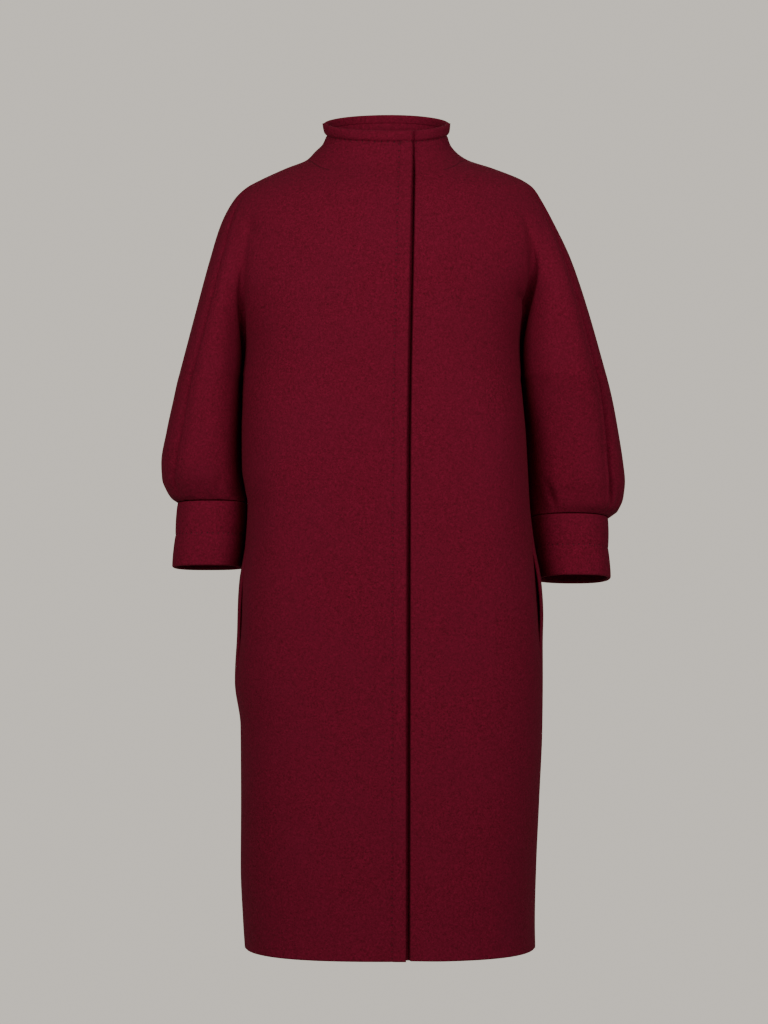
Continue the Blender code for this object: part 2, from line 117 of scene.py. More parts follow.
# The whole section from the collar to the underarm: half widths, how square it is, how much the back is
# raised, where the side fold and the overarm seam run, and how far that seam has sunk
YOKE = table("height left right square tilt crease_at left_inset right_inset groove_at", [
    (46, 82, 73, 2.0, 0.29, 0.80, 0, 0, 0.0),
    (30, 80.5, 72.5, 2.0, 0.27, 0.80, 0, 0, 0.0),
    (20, 84, 75, 2.0, 0.25, 0.80, 0, 0, 0.0),
    (10, 94, 82.5, 1.9, 0.22, 0.80, 0, 0, 0.0),
    (0, 104, 97, 1.8, 0.18, 0.81, 0, 0, 0.0),
    (-10, 129, 127.5, 1.65, 0.14, 0.82, 0, 0, 0.0),
    (-25, 162, 165, 1.60, 0.09, 0.83, 2, 1, 0.1),
    (-35, 180, 179, 1.65, 0.06, 0.83, 4, 2, 0.2),
    (-50, 195, 189, 1.75, 0.03, 0.83, 8, 3.5, 0.3),
    (-80, 211, 205, 1.95, 0.0, 0.82, 14, 5.5, 0.45),
    (-125, 225, 226, 2.15, 0.0, 0.80, 17, 9, 0.6),
    (-185, 241, 246, 2.35, 0.0, 0.77, 18, 10.5, 0.8),
    (-270, 263, 270, 2.4, 0.0, 0.68, 18, 12, 1.0),
])

# The side fold between body and sleeve: how deep it is pinched, from 0 to 1 at the underarm
FOLD = table("height left_pinch right_pinch", [
    (46, 0.0, 0.0),
    (-55, 0.0, 0.0),
    (-90, 0.04, 0.06),
    (-140, 0.18, 0.28),
    (-190, 0.46, 0.68),
    (-240, 0.82, 0.92),
    (-270, 1.0, 1.0),
])

# How strongly body and sleeve press each other out of line where they touch
PRESS = table("height share_at", [
    (46, 0.0),
    (-225, 0.0),
    (-290, 1.0),
    (-520, 1.0),
    (-610, 0.0),
    (-980, 0.0),
])
PRESS_SLOPE, PRESS_DEPTH, PRESS_REACH = 0.15, 0.050, 0.030

# The side fold above the underarm: how deep the narrow crease in it is
CREASE = table("height left right", [
    (46, 0, 0),
    (-60, 0, 0),
    (-100, 1.5, 3),
    (-140, 3, 6),
    (-190, 5, 8),
    (-240, 4, 5),
    (-264, 0, 0),
    (-980, 0, 0),
])
CREASE_WIDTH = 0.0075

# The body: half widths, squareness, and the side seam's place from the front (1 is the side)
BODY = table("height left right square seam_at", [
    (46, 70, 62, 2.2, 1.0),
    (-35, 150, 146, 2.2, 1.0),
    (-125, 176, 158, 2.2, 1.0),
    (-185, 179, 158, 2.45, 1.0),
    (-270, 181, 161, 2.8, 1.0),
    (-275, 180, 160, 2.9, 1.0),
    (-300, 180, 161.5, 3.3, 0.97),
    (-340, 181, 165, 3.5, 0.935),
    (-385, 180.5, 167.5, 3.5, 0.88),
    (-412, 176.5, 169, 3.5, 0.84),
    (-430, 173.5, 170, 3.5, 0.82),
    (-480, 176.5, 176, 3.4, 0.785),
    (-525, 184, 184.5, 3.3, 0.77),
    (-580, 189, 189.5, 3.2, 0.77),
    (-650, 193, 190, 3.1, 0.78),
    (-705, 186, 189.5, 3.0, 0.80),
    (-800, 185.5, 185.5, 2.9, 0.835),
    (-880, 186, 182, 2.8, 0.86),
    (-950, 183, 180.5, 2.7, 0.88),
    (-980, 181, 181, 2.7, 0.88),
])

# The sleeves: inner and outer side, depths, middle line, squareness, tilt of the gathered end and how
# far the overarm seam has sunk
SLEEVE_COLUMNS = "height inner outer front back middle square tilt inset groove"
SLEEVE = {
    "left": table(SLEEVE_COLUMNS, [
        (-270, 181, 263, 80, 84, 0, 2.3, 0.0, 18, 4.0),
        (-275, 182, 264.5, 80, 84, 0, 2.3, 0.0, 18, 4.0),
        (-300, 181.4, 270, 79, 84, -1, 2.3, 0.0, 19, 4.0),
        (-340, 182.2, 278.5, 78, 82, -3, 2.3, -0.01, 21, 4.0),
        (-380, 181.9, 285, 75, 78, -5, 2.3, -0.03, 21, 3.5),
        (-400, 179.8, 284, 70, 73, -7, 2.3, -0.05, 18, 3.0),
        (-415, 177.2, 278.5, 63, 67, -8, 2.3, -0.065, 16, 2.0),
        (-425, 175.5, 272, 56, 60, -9, 2.4, -0.075, 15, 1.0),
        (-430, 175, 264, 50, 53, -10, 2.5, -0.08, 14, 0.0),
    ]),
    "right": table(SLEEVE_COLUMNS, [
        (-270, 161, 270, 80, 84, 0, 2.3, 0.0, 12, 5.0),
        (-275, 162.2, 271.5, 80, 84, 1, 2.3, 0.0, 12, 5.0),
        (-300, 163, 278, 79, 84, 6, 2.3, 0.0, 13, 5.5),
        (-340, 166, 286, 78, 83, 12, 2.3, -0.01, 15.5, 6.0),
        (-380, 168, 292.5, 76, 80, 15, 2.3, -0.04, 19, 6.0),
        (-405, 169.4, 295, 73, 77, 15, 2.3, -0.07, 20, 5.0),
        (-422, 170.8, 294, 67, 72, 14, 2.3, -0.10, 19, 4.0),
        (-437, 172.5, 289, 60, 64, 12, 2.4, -0.13, 16, 2.0),
        (-447, 174.2, 272.5, 51, 54, 10, 2.5, -0.15, 14, 0.0),
    ]),
}

# The cuffs, from the seam to the lower edge
CUFF_COLUMNS = "height inner outer front back middle square tilt inset"
CUFF = {
    "left": table(CUFF_COLUMNS, [
        (-430.5, 175, 264, 50, 53, -10, 2.5, -0.08, 14),
        (-470, 178, 266.5, 51, 53, -12, 2.5, -0.08, 14),
        (-511, 183.8, 270.5, 51, 54, -14, 2.5, -0.08, 14),
    ]),
    "right": table(CUFF_COLUMNS, [
        (-447.5, 174.2, 272.5, 51, 54, 10, 2.5, -0.15, 14),
        (-480, 177.8, 272.5, 51, 54, 8, 2.5, -0.14, 14),
        (-524, 186, 275.5, 52, 55, 4, 2.5, -0.13, 14),
    ]),
}

# Folds where the sleeves are gathered: place round the sleeve (1 underarm, 2 overarm seam, 3 underarm
# again), half width in the same measure, depth, and the levels where the fold is deepest and fades out
GATHER_COLUMNS = "around wide_around depth deepest fades"
GATHERS = {
    "left": table(GATHER_COLUMNS, [
        (1.35, 0.10, 1.5, -424, -385),
        (1.75, 0.10, 1.2, -424, -390),
        (2.35, 0.12, 2.5, -424, -370),
        (2.68, 0.12, 2.0, -424, -375),
    ]),
    "right": table(GATHER_COLUMNS, [
        (1.33, 0.10, 2.5, -434, -390),
        (2.060, 0.018, 3.5, -434, -402),
        (2.105, 0.018, 3.5, -434, -406),
        (2.19, 0.07, 3.0, -434, -385),
        (2.40, 0.12, 3.0, -434, -380),
        (2.70, 0.12, 2.0, -434, -385),
    ]),
}

# Along the overarm seam the front stands up in a ridge and the back sinks into a groove behind it
OVERARM = table("height left_ridge left_sink right_ridge right_sink", [
    (46, 0, 0, 0, 0),
    (-20, 0, 0, 0, 0),
    (-60, 0.3, 1.0, 1.0, 3.0),
    (-130, 0.4, 1.5, 1.6, 5.5),
    (-230, 0.5, 2.0, 2.0, 7.0),
    (-330, 0.6, 2.0, 2.3, 8.0),
    (-400, 0.5, 2.0, 2.3, 8.0),
    (-425, 0.2, 1.0, 1.5, 5.0),
    (-447, 0, 0, 0, 0),
])
RIDGE_AT, RIDGE_WIDTH = -0.0045, 0.0040
SINK_AT, SINK_WIDTH = 0.0022, 0.0034

# Creases laid in one by one, as lines in the front view: trough or, below 0, ridge, and which side has it
FOLDS = table("x height to_x to_height width depth side_at", [
    (192, -402, 204, -436, 3.5, 3.4, -1),
    (199, -398, 212, -434, 4, -1.4, -1),
    (158, -168, 166, -186, 5, 5.0, -1),
    (-176, -78, -168, -100, 9, 3.0, -1),
    (-165, -110, -60, -165, 26, 1.6, -1),
    (120, -95, 60, -165, 24, 1.2, -1),
    (-150, -330, -140, -640, 22, -1.2, -1),
    (120, -330, 128, -640, 22, -1.2, -1),
    (-70, -560, -62, -900, 26, 1.2, -1),
    (88, -600, 96, -920, 24, 1.2, -1),
    (-215, -190, -228, -340, 12, 1.2, -1),
    (205, -190, 222, -330, 12, 1.2, -1),
    (-205, -392, -212, -428, 6, 1.4, -1),
    (-228, -395, -230, -427, 5, 1.2, -1),
    (-60, -20, -20, -60, 14, 1.2, 1),
    (150, -110, 40, -190, 28, 2.0, 1),
    (-150, -105, -50, -175, 28, 1.8, 1),
    (-90, -300, -104, -700, 30, 2.2, 1),
    (96, -330, 84, -760, 30, 2.0, 1),
    (6, -420, -4, -860, 34, -1.8, 1),
    (-215, -200, -226, -350, 13, 1.6, 1),
    (212, -200, 230, -340, 13, 1.8, 1),
    (-205, -388, -214, -428, 6, 1.8, 1),
    (205, -395, 218, -440, 6, 2.0, 1),
])

# The overlap: how far each front reaches past the middle
LAP = table("height reach", [(46, 29), (-100, 25), (-400, 20), (-980, 19)])

# Along the top front's edge the other front sinks in a slot: how deep, and how far it reaches beyond
SLOT = table("height depth beyond", [
    (46, 1.0, 0.8),
    (20, 2.5, 1.6),
    (-20, 5.0, 2.4),
    (-100, 5.5, 2.8),
    (-980, 6.0, 3.0),
])
SLOT_WALL = 0.0025

# The pockets in the side seams, from the upper end down
POCKET_TOP = {"left": -0.478, "right": -0.455}

FLOOR = -1.45

# The neck darts in the front view, as distances from their middle, with heights
DART_MIDDLE = -0.0045
DART_START, DART_END = np.array([0.092, -0.006]), np.array([0.070, -0.0195])
DART_BOW, DART_SHOWS = 0.002, 0.6


def levels(*stops):
    """Heights from stop to stop, given as (height, step) pairs in millimetres. The last step is unused."""
    runs = [np.linspace(a, b, max(2, round((a - b) / step) + 1))[:-1]
            for (a, step), b in zip(stops[:-1], [s[0] for s in stops[1:]])]
    return np.concatenate(runs + [[stops[-1][0]]]) * MM


YOKE_LEVELS = levels((46, 5), (41, 1), (30, 2), (-50, 3.2), (-130, 4), (-270, 0))
BODY_LEVELS = levels((-270, 2.5), (-290, 4.6), (-950, 2.4), (-977, 3), (-980, 0))
SLEEVE_LEVELS = {
    "left": levels((-270, 2.5), (-290, 4), (-390, 2.5), (-424, 1.5), (-430, 0)),
    "right": levels((-270, 2.5), (-290, 4), (-400, 2.5), (-441, 1.5), (-447, 0)),
}

# Columns of a front: lengths from its free edge, then shares of the way on to the side
EDGE_STEPS = np.concatenate([[0, 3], np.arange(4, 24, 1.0), [25, 27.5, 31, 35, 40]]) * MM
# Columns of the front underneath: shares of its reach up to the top front's edge, then lengths beyond that
UNDER_SHARES = np.array([-1, -0.85, -0.6, -0.3, 0, 0.3, 0.6, 0.85])
BESIDE_STEPS = np.concatenate([[-1.5], np.linspace(0, 4, 9), [4.75, 5.5, 6.25, 8, 9.5, 12, 15, 19]]) * MM
FRONT_SHARES = np.linspace(0, 1, 41)
BACK_SHARES = np.linspace(0, 1, 43)
# Columns of a sleeve's half, closer together at the overarm seam
ARM_SHARES = np.concatenate([np.linspace(0, 0.9, 37), np.linspace(0.9, 1, 21)[1:]])


def read(source, name, heights):
    """A table's column at the given heights: a cubic through its rows that never swings past them."""
    at, values = source["height"][::-1], source[name][::-1]
    steps = np.diff(at)
    slopes = np.diff(values) / steps
    tangents = np.zeros_like(values)
    same_way = slopes[1:] * slopes[:-1] > 0
    mean = 2 * slopes[1:] * slopes[:-1] / np.where(same_way, slopes[1:] + slopes[:-1], 1)
    tangents[1:-1] = np.where(same_way, mean, 0)
    tangents[0], tangents[-1] = slopes[0], slopes[-1]
    heights = np.clip(heights, at[0], at[-1])
    i = np.clip(np.searchsorted(at, heights) - 1, 0, len(at) - 2)
    t = (heights - at[i]) / steps[i]
    start = (1 + 2 * t) * (1 - t) ** 2 * values[i] + t * (1 - t) ** 2 * steps[i] * tangents[i]
    return start + t ** 2 * (3 - 2 * t) * values[i + 1] + t ** 2 * (t - 1) * steps[i] * tangents[i + 1]


def look_up(keys, values, at):
    """Each row of values at the places on that row's rising keys. The rows are strung end to end, every
    one shifted past the one before it, so that one interpolation serves them all."""
    shift = np.arange(len(keys))[:, None] * (keys.max() - keys.min() + 1.0)
    places = np.clip(at, keys[:, :1], keys[:, -1:]) + shift
    return np.interp(places, (keys + shift).ravel(), values.ravel())


def arch(half_width, front, back, square):
    """Half ovals, one per row: x is the width times |sin t|^(2/q) and y is the depth times |cos t|^(2/q),
    with t from 0 at the front over the side to pi at the back."""
    turn = np.linspace(0, np.pi, SAMPLES)
    power = 2 / square[:, None]
    depth = np.where(np.cos(turn) > 0, -front[:, None], back[:, None])
    x = half_width[:, None] * np.abs(np.sin(turn)) ** power
    return x, depth * np.abs(np.cos(turn)) ** power


def run_along(x, y):
    """The length run along each row's curve."""
    steps = np.hypot(np.diff(x), np.diff(y))
    return np.concatenate([np.zeros((len(x), 1)), np.cumsum(steps, axis=1)], axis=1)


def along(curve, at):
    """Points of each row's curve at its lengths."""
    run = run_along(*curve)
    return np.stack([look_up(run, part, at) for part in curve], axis=-1)


def across(own, other, at):
    """Points at lengths from the middle of the front: on a front's own half curves, and on the other half's,
    mirrored, where the length is below 0."""
    here = along(own, np.maximum(at, 0))
    there = along(other, np.maximum(-at, 0)) * [-1, 1]
    return np.where(at[..., None] < 0, there, here)


def body_curve(side, heights):
    """The body's half curves and the length along each at which the side seam lies."""
    curve = arch(*(read(source, name, heights) for source, name in
                   ((BODY, side), (PROFILE, "front"), (PROFILE, "back"), (BODY, "square"))))
    seam = run_along(*curve)[:, SAMPLES // 2] * read(BODY, "seam_at", heights)
    return curve, seam[:, None]


def yoke_curve(side, heights):
    """The whole section's half curves, and the lengths at which the side fold, the overarm seam and the
    fold at the back lie."""
    width = read(YOKE, side, heights)
    curve = arch(width, *(read(source, name, heights) for source, name in
                          ((PROFILE, "front"), (PROFILE, "back"), (YOKE, "square"))))
    x, run, half = curve[0], run_along(*curve), SAMPLES // 2
    crease = (width * read(YOKE, "crease_at", heights))[:, None]
    seam = (width - read(YOKE, side + "_inset", heights))[:, None]
    fold = look_up(x[:, :half + 1], run[:, :half + 1], crease)
    seam = look_up(x[:, :half + 1], run[:, :half + 1], seam)
    back_fold = look_up(-x[:, half:], run[:, half:], -crease)
    return curve, fold, seam, back_fold


def ring(inner, outer, front, back, middle, square, inset):
    """Ovals round an arm, from the inner side over the front and the overarm seam and back again, and the
    length at which that seam lies."""
    x, y = arch((outer - inner) / 2, front, back, square)
    side = SAMPLES // 2
    x = np.concatenate([-x[:, side::-1], x[:, 1:], -x[:, -2:side - 1:-1]], axis=1)
    x += ((inner + outer) / 2)[:, None]
    y = np.concatenate([y[:, side::-1], y[:, 1:], y[:, -2:side - 1:-1]], axis=1) + middle[:, None]
    rising = slice(0, 2 * side + 1)
    seam = look_up(x[:, rising], run_along(x, y)[:, rising], (outer - inset)[:, None])
    return (x, y), seam


def arm_curve(sizes, heights):
    """The ovals of a sleeve or a cuff from its table."""
    names = "inner", "outer", "front", "back", "middle", "square", "inset"
    return ring(*(read(sizes, name, heights) for name in names))


def upper_arm_curve(side, heights):
    """The ovals into which the arm's part of the whole section turns on its way down to the underarm."""
    at = np.full(len(heights), SPLIT_HEIGHT)
    limb = [read(SLEEVE[side], name, at) for name in ("front", "back", "middle", "square")]
    inner, outer, inset = (read(source, name, heights) for source, name in
                           ((BODY, side), (YOKE, side), (YOKE, side + "_inset")))
    return ring(inner, outer, *limb, inset)


def front_lengths(side, heights, stop):
    """Lengths from the middle to a front's columns: steps near the top edge, then shares of the rest."""
    reach = read(LAP, "reach", heights)[:, None]
    if side == "left":
        near = EDGE_STEPS - reach
    else:
        near = np.concatenate([reach * UNDER_SHARES, reach + BESIDE_STEPS], axis=1)
    return np.concatenate([near, near[:, -1:] + (stop - near[:, -1:]) * FRONT_SHARES[1:]], axis=1)


def grid(flat, heights, tilt, side, edge=None, seam=None, side_seam=None, around=None):
    """Rows of x and y made into points that carry their marks. Where the sleeve hangs against the body both
    yield alike, outwards before the middle and inwards behind it, so that no light falls through between
    them: x changes by -slope * y * exp(-(y/depth)^2), less with the distance from the body's side."""
    shape = flat.shape[:2]
    x, y = flat[..., 0], flat[..., 1]
    beside = (x - read(BODY, side, heights)[:, None]) / PRESS_REACH
    pressed = read(PRESS, "share_at", heights)[:, None] * dip(beside) * dip(y / PRESS_DEPTH)
    steps = np.linalg.norm(np.diff(flat, axis=1), axis=-1)
    run = np.cumsum(np.pad(steps, ((0, 0), (1, 0))), axis=1)
    marks = [np.broadcast_to(1.0 if mark is None else mark, shape)
             for mark in (edge, heights[:, None], seam, side_seam, around, run)]
    x, z = SIGN[side] * (x - PRESS_SLOPE * y * pressed), heights[:, None] + tilt[:, None] * y
    return np.stack([x, y, z, *marks], axis=-1)


def arm_part(curve, seam, half):
    """Points of the front or the back half of ovals round an arm, in columns that end or start at the
    overarm seam, with their distances from it and their places round the arm."""
    whole = run_along(*curve)[:, -1:]
    if half == "front":
        at = seam * ARM_SHARES
        around = 1 + ARM_SHARES
    else:
        at = seam + (whole - seam) * (1 - ARM_SHARES[::-1])
        around = 3 - ARM_SHARES[::-1]
    return along(curve, at), at - seam, around[None]


def yoke_arm(side, heights, half):
    """The arm's part of the section above the underarm, which turns by degrees into a sleeve's oval, with
    its distances from the overarm seam and from the side fold."""
    curve, fold, seam, back_fold = yoke_curve(side, heights)
    if half == "front":
        whole = along(curve, fold + (seam - fold) * ARM_SHARES)
    else:
        whole = along(curve, seam + (back_fold - seam) * (1 - ARM_SHARES[::-1]))
    apart, from_seam, _ = arm_part(*upper_arm_curve(side, heights), half)
    pinch = read(FOLD, side + "_pinch", heights)[:, None, None]
    run = run_along(*np.moveaxis(whole, -1, 0))
    return whole + pinch * (apart - whole), from_seam, run if half == "front" else run[:, -1:] - run


def front_yoke(side, heights):
    """A front above the underarm, from its free edge over the chest and the arm to the overarm seam."""
    other = OTHER_SIDE[side]
    curve, fold, _, _ = yoke_curve(side, heights)
    at = front_lengths(side, heights, fold)
    whole = across(curve, yoke_curve(other, heights)[0], at)
    body, body_seam = body_curve(side, heights)
    apart = across(body, body_curve(other, heights)[0], front_lengths(side, heights, body_seam))
    pinch = np.where(at < 0, read(FOLD, other + "_pinch", heights)[:, None],
                     read(FOLD, side + "_pinch", heights)[:, None])[..., None]
    chest = whole + pinch * (apart - whole)
    arm, from_seam, from_fold = yoke_arm(side, heights, "front")
    edge = at + read(LAP, "reach", heights)[:, None]
    flat = np.concatenate([chest, arm[:, 1:]], axis=1)
    edge = np.concatenate([edge, np.ones_like(from_seam[:, 1:])], axis=1)
    seam = np.concatenate([np.ones_like(at), from_seam[:, 1:]], axis=1)
    fold = np.concatenate([fold - at, from_fold[:, 1:]], axis=1)
    return grid(flat, heights, read(YOKE, "tilt", heights), side, edge=edge, seam=seam, side_seam=fold)


def front_body(side, heights):
    """A front's body below the underarm, from its free edge to the side seam."""
    curve, seam = body_curve(side, heights)
    at = front_lengths(side, heights, seam)
    flat = across(curve, body_curve(OTHER_SIDE[side], heights)[0], at)
    edge = at + read(LAP, "reach", heights)[:, None]
    return grid(flat, heights, 0 * heights, side, edge=edge, side_seam=seam - at)


def sleeve_half(side, heights, half):
    """Half a sleeve from the underarm to the cuff: the front half ends and the back half starts at the
    overarm seam."""
    flat, from_seam, around = arm_part(*arm_curve(SLEEVE[side], heights), half)
    return grid(flat, heights, read(SLEEVE[side], "tilt", heights), side, seam=from_seam, around=around)


def back_yoke(side, heights):
    """Half the back above the underarm, from the overarm seam over the arm to the middle of the back."""
    curve, _, _, back_fold = yoke_curve(side, heights)
    end = run_along(*curve)[:, -1:]
    whole = along(curve, back_fold + (end - back_fold) * BACK_SHARES)
    body, body_seam = body_curve(side, heights)
    body_end = run_along(*body)[:, -1:]
    apart = along(body, body_seam + (body_end - body_seam) * BACK_SHARES)
    pinch = read(FOLD, side + "_pinch", heights)[:, None, None]
    arm, from_seam, from_fold = yoke_arm(side, heights, "back")
    flat = np.concatenate([arm[:, :-1], whole + pinch * (apart - whole)], axis=1)
    seam = np.concatenate([from_seam[:, :-1], np.ones((len(heights), len(BACK_SHARES)))], axis=1)
    fold = np.concatenate([from_fold[:, :-1], (end - back_fold) * BACK_SHARES], axis=1)
    return grid(flat, heights, read(YOKE, "tilt", heights), side, seam=seam, side_seam=fold)


def back_body(side, heights):
    """Half the back below the underarm, from the side seam to the middle of the back."""
    curve, seam = body_curve(side, heights)
    end = run_along(*curve)[:, -1:]
    at = seam + (end - seam) * BACK_SHARES
    return grid(along(curve, at), heights, 0 * heights, side, side_seam=at - seam)


def numbered(rows):
    """The numbers of a grid's points, in order."""
    return np.arange(rows.shape[0] * rows.shape[1]).reshape(rows.shape[:2])


def quads(ids):
    """The faces of a grid of point numbers, each with its corners in order."""
    corners = ids[:-1, :-1], ids[1:, :-1], ids[1:, 1:], ids[:-1, 1:]
    return np.stack([corner.ravel() for corner in corners], axis=-1)


def hang(yoke, *parts):
    """A yoke grid with further grids hung from stretches of its last row. Each part is the first column of
    its stretch and a grid whose first row is that stretch."""
    ids = numbered(yoke)
    points, faces, count = [yoke.reshape(-1, yoke.shape[2])], [quads(ids)], ids.size
    for first, part in parts:
        rows, columns = part.shape[:2]
        below = np.arange(count, count + (rows - 1) * columns).reshape(rows - 1, columns)
        faces.append(quads(np.concatenate([ids[-1:, first:first + columns], below])))
        points.append(part[1:].reshape(-1, part.shape[2]))
        count += below.size
    return np.concatenate(points), np.concatenate(faces)


def front_panel(side):
    """A front with its half of the sleeve, as points with marks and faces that look out of the coat."""
    body, sleeve = front_body(side, BODY_LEVELS), sleeve_half(side, SLEEVE_LEVELS[side], "front")
    cloth, faces = hang(front_yoke(side, YOKE_LEVELS), (0, body), (body.shape[1] - 1, sleeve))
    return cloth, faces if side == "right" else faces[:, ::-1]


def back_panel():
    """The back with both back halves of the sleeves, from the left overarm seam to the right one."""
    halves = {side: [back_yoke(side, YOKE_LEVELS), back_body(side, BODY_LEVELS),
                     sleeve_half(side, SLEEVE_LEVELS[side], "back")] for side in ("left", "right")}
    (left_yoke, left_body, left_arm), (right_yoke, right_body, right_arm) = halves.values()
    yoke = np.concatenate([left_yoke, right_yoke[:, -2::-1]], axis=1)
    body = np.concatenate([left_body, right_body[:, -2::-1]], axis=1)
    arm = left_arm.shape[1]
    parts = (0, left_arm), (arm - 1, body), (arm + body.shape[1] - 2, right_arm[:, ::-1])
    cloth, faces = hang(yoke, *parts)
    return cloth, faces[:, ::-1]


def fade(x):
    """A soft step from 0 at 0 to 1 at 1."""
    x = np.clip(x, 0, 1)
    return x * x * (3 - 2 * x)


def dip(away):
    """A soft trough of depth 1 that is gone about two widths away."""
    return np.exp(-away ** 2)


def way_out(points, faces, same=None):
    """The direction out of the cloth at each point: the mean of the normals of the faces round it. Points
    that have the same number in `same` share one direction."""
    same = np.arange(len(points)) if same is None else same
    a, b, c, d = (points[faces[:, k]] for k in range(4))
    normal = np.cross(c - a, d - b)
    total = np.zeros((same.max() + 1, 3))
    for k in range(4):
        np.add.at(total, same[faces[:, k]], normal)
    return total[same] / np.linalg.norm(total[same], axis=1)[:, None]


def sew(*panels):
    """The panels as (cloth, faces, way out), with one way out where two of them meet at a seam."""
    counts = np.cumsum([0] + [len(cloth) for cloth, _ in panels])
    points = np.concatenate([cloth[:, :3] for cloth, _ in panels])
    faces = np.concatenate([faces + count for (_, faces), count in zip(panels, counts)])
    same = np.unique(np.round(points / 1e-6), axis=0, return_inverse=True)[1].ravel()
    out = way_out(points, faces, same)
    return [(cloth, faces, out[a:b]) for (cloth, faces), a, b in zip(panels, counts, counts[1:])]


def rim_of(faces):
    """The edges that only one face has, in that face's direction."""
    edges = faces[:, [0, 1, 1, 2, 2, 3, 3, 0]].reshape(-1, 2)
    _, first, counts = np.unique(np.sort(edges, axis=1), axis=0, return_index=True, return_counts=True)
    return edges[first[counts == 1]]


def put_in_scene(name, data):
    """A new object of a mesh, a light or a camera."""
    made = bpy.data.objects.new(name, data)
    bpy.context.collection.objects.link(made)
    return made


def put_in_mesh(name, points, faces, marks=None):
    """A mesh object of its own at the origin from arrays of points and four-cornered faces, with named
    marks of three numbers a point for the material."""
    mesh = bpy.data.meshes.new(name)
    mesh.vertices.add(len(points))
    mesh.vertices.foreach_set("co", points.ravel())
    mesh.loops.add(faces.size)
    mesh.loops.foreach_set("vertex_index", faces.ravel().astype(np.int32))
    mesh.polygons.add(len(faces))
    mesh.polygons.foreach_set("loop_start", np.arange(0, faces.size, 4, dtype=np.int32))
    mesh.update(calc_edges=True)
    mesh.polygons.foreach_set("use_smooth", np.full(len(faces), True))
    for mark, values in (marks or {}).items():
        mesh.attributes.new(mark, "FLOAT_VECTOR", "POINT").data.foreach_set("vector", values.ravel())
    return put_in_scene(name, mesh)


def cloth_wall(name, points, faces, thickness, roll, marks=None, keep=0):
    """A closed wall of cloth whose outside is the given surface. The inside lies a thickness further in,
    and each edge is rolled: half an ellipse, half the thickness deep and `roll` of it wide, carried
    along the rim. Under the arms the inside keeps to its own half, before (-1) or behind (1) the seam."""
    out = way_out(points, faces)
    thickness = np.broadcast_to(thickness, len(points))[:, None]
    roll = thickness * np.broadcast_to(roll, len(points))[:, None]
    rim = rim_of(faces)
    line = points[rim[:, 1]] - points[rim[:, 0]]
    away = np.zeros_like(points)
    for end in range(2):
        np.add.at(away, rim[:, end], np.cross(line, out[rim[:, end]]))
    on_rim = np.unique(rim)
    away[on_rim] /= np.linalg.norm(away[on_rim], axis=1)[:, None]
    outer = points - away * (roll + SEAM_HALF_GAP)
    inner = outer - thickness * out
    if keep:
        crotch = np.abs(inner[:, 2] - SPLIT_HEIGHT) < CROTCH_REACH
        inside = np.maximum(keep * inner[:, 1], SEAM_HALF_GAP) * keep
        inner[:, 1] = np.where(crotch, inside, inner[:, 1])
    turn = np.linspace(0, np.pi, ROLL_STEPS + 1)[1:-1, None, None]
    middle = (outer + inner)[on_rim] / 2
    arcs = middle + (outer - inner)[on_rim] / 2 * np.cos(turn) + away[on_rim] * roll[on_rim] * np.sin(turn)
    count = len(points)
    place = np.zeros(count, int)
    place[on_rim] = np.arange(len(on_rim))
    first_arc = 2 * count + place
    starts = [first_arc + k * len(on_rim) for k in range(len(turn))]
    starts = [np.arange(count), *starts, count + np.arange(count)]
    strips = [np.stack([a[rim[:, 1]], a[rim[:, 0]], b[rim[:, 0]], b[rim[:, 1]]], axis=-1)
              for a, b in zip(starts[:-1], starts[1:])]
    faces = np.concatenate([faces, faces[:, ::-1] + count] + strips)
    marks = {mark: np.concatenate([values, np.ones_like(values)] + [values[on_rim]] * len(turn))
             for mark, values in (marks or {}).items()}
    return put_in_mesh(name, np.concatenate([outer, inner, arcs.reshape(-1, 3)]), faces, marks)


def groove(side, heights, from_seam):
    """How far the cloth beside the overarm seam is drawn in: a broad trough along it, a narrow one just
    behind it, less a ridge just before it."""
    below = read(SLEEVE[side], "groove", heights)
    above = read(SLEEVE[side], "groove", np.full(heights.shape, SPLIT_HEIGHT))
    above = above * read(YOKE, "groove_at", heights)
    broad = np.where(heights > SPLIT_HEIGHT, above, below) * dip(from_seam / SEAM_GROOVE_WIDTH)
    sink = read(OVERARM, side + "_sink", heights) * dip((from_seam - SINK_AT) / SINK_WIDTH)
    return broad + sink - read(OVERARM, side + "_ridge", heights) * dip((from_seam - RIDGE_AT) / RIDGE_WIDTH)


def gathers(side, heights, around):
    """How far the gathers draw in the sleeve: most just above the cuff and not at all at its seam."""
    near_seam = np.clip((heights - SLEEVE[side]["height"][-1]) / GATHER_END, 0, 1)
    total = np.zeros(heights.shape)
    for place, wide, depth, deepest, fades in zip(*GATHERS[side].values()):
        strength = np.clip((fades - heights) / (fades - deepest), 0, 1)
        total += depth * strength ** 2 * near_seam * dip((around - place) / wide)
    return total


def pocket_opening(side, heights):
    """How far a pocket gapes at a height, from 0 at its ends to 1 at its middle."""
    down = np.clip((POCKET_TOP[side] - heights) / POCKET_LENGTH, 0, 1)
    return np.sin(down * np.pi) ** 2


def pocket_lift(side, cloth, gape):
    """How far the cloth at a pocket's mouth is raised or, before the seam, sunk."""
    return gape * fade(1 - cloth[:, SIDE] / POCKET_RAMP) * pocket_opening(side, cloth[:, HEIGHT])


def doubled(from_edge, stitch, plump):
    """How plump the double cloth is between an edge and its line of stitches: a quarter of an ellipse that
    starts full at the edge and ends at the stitches."""
    return plump * np.sqrt(1 - np.clip(from_edge / stitch, 0, 1) ** 2)


def stitch_trough(from_edge, stitch, depth):
    """The trough that the stitches pull into the cloth."""
    return depth * dip((from_edge - stitch) / TROUGH_WIDTH)


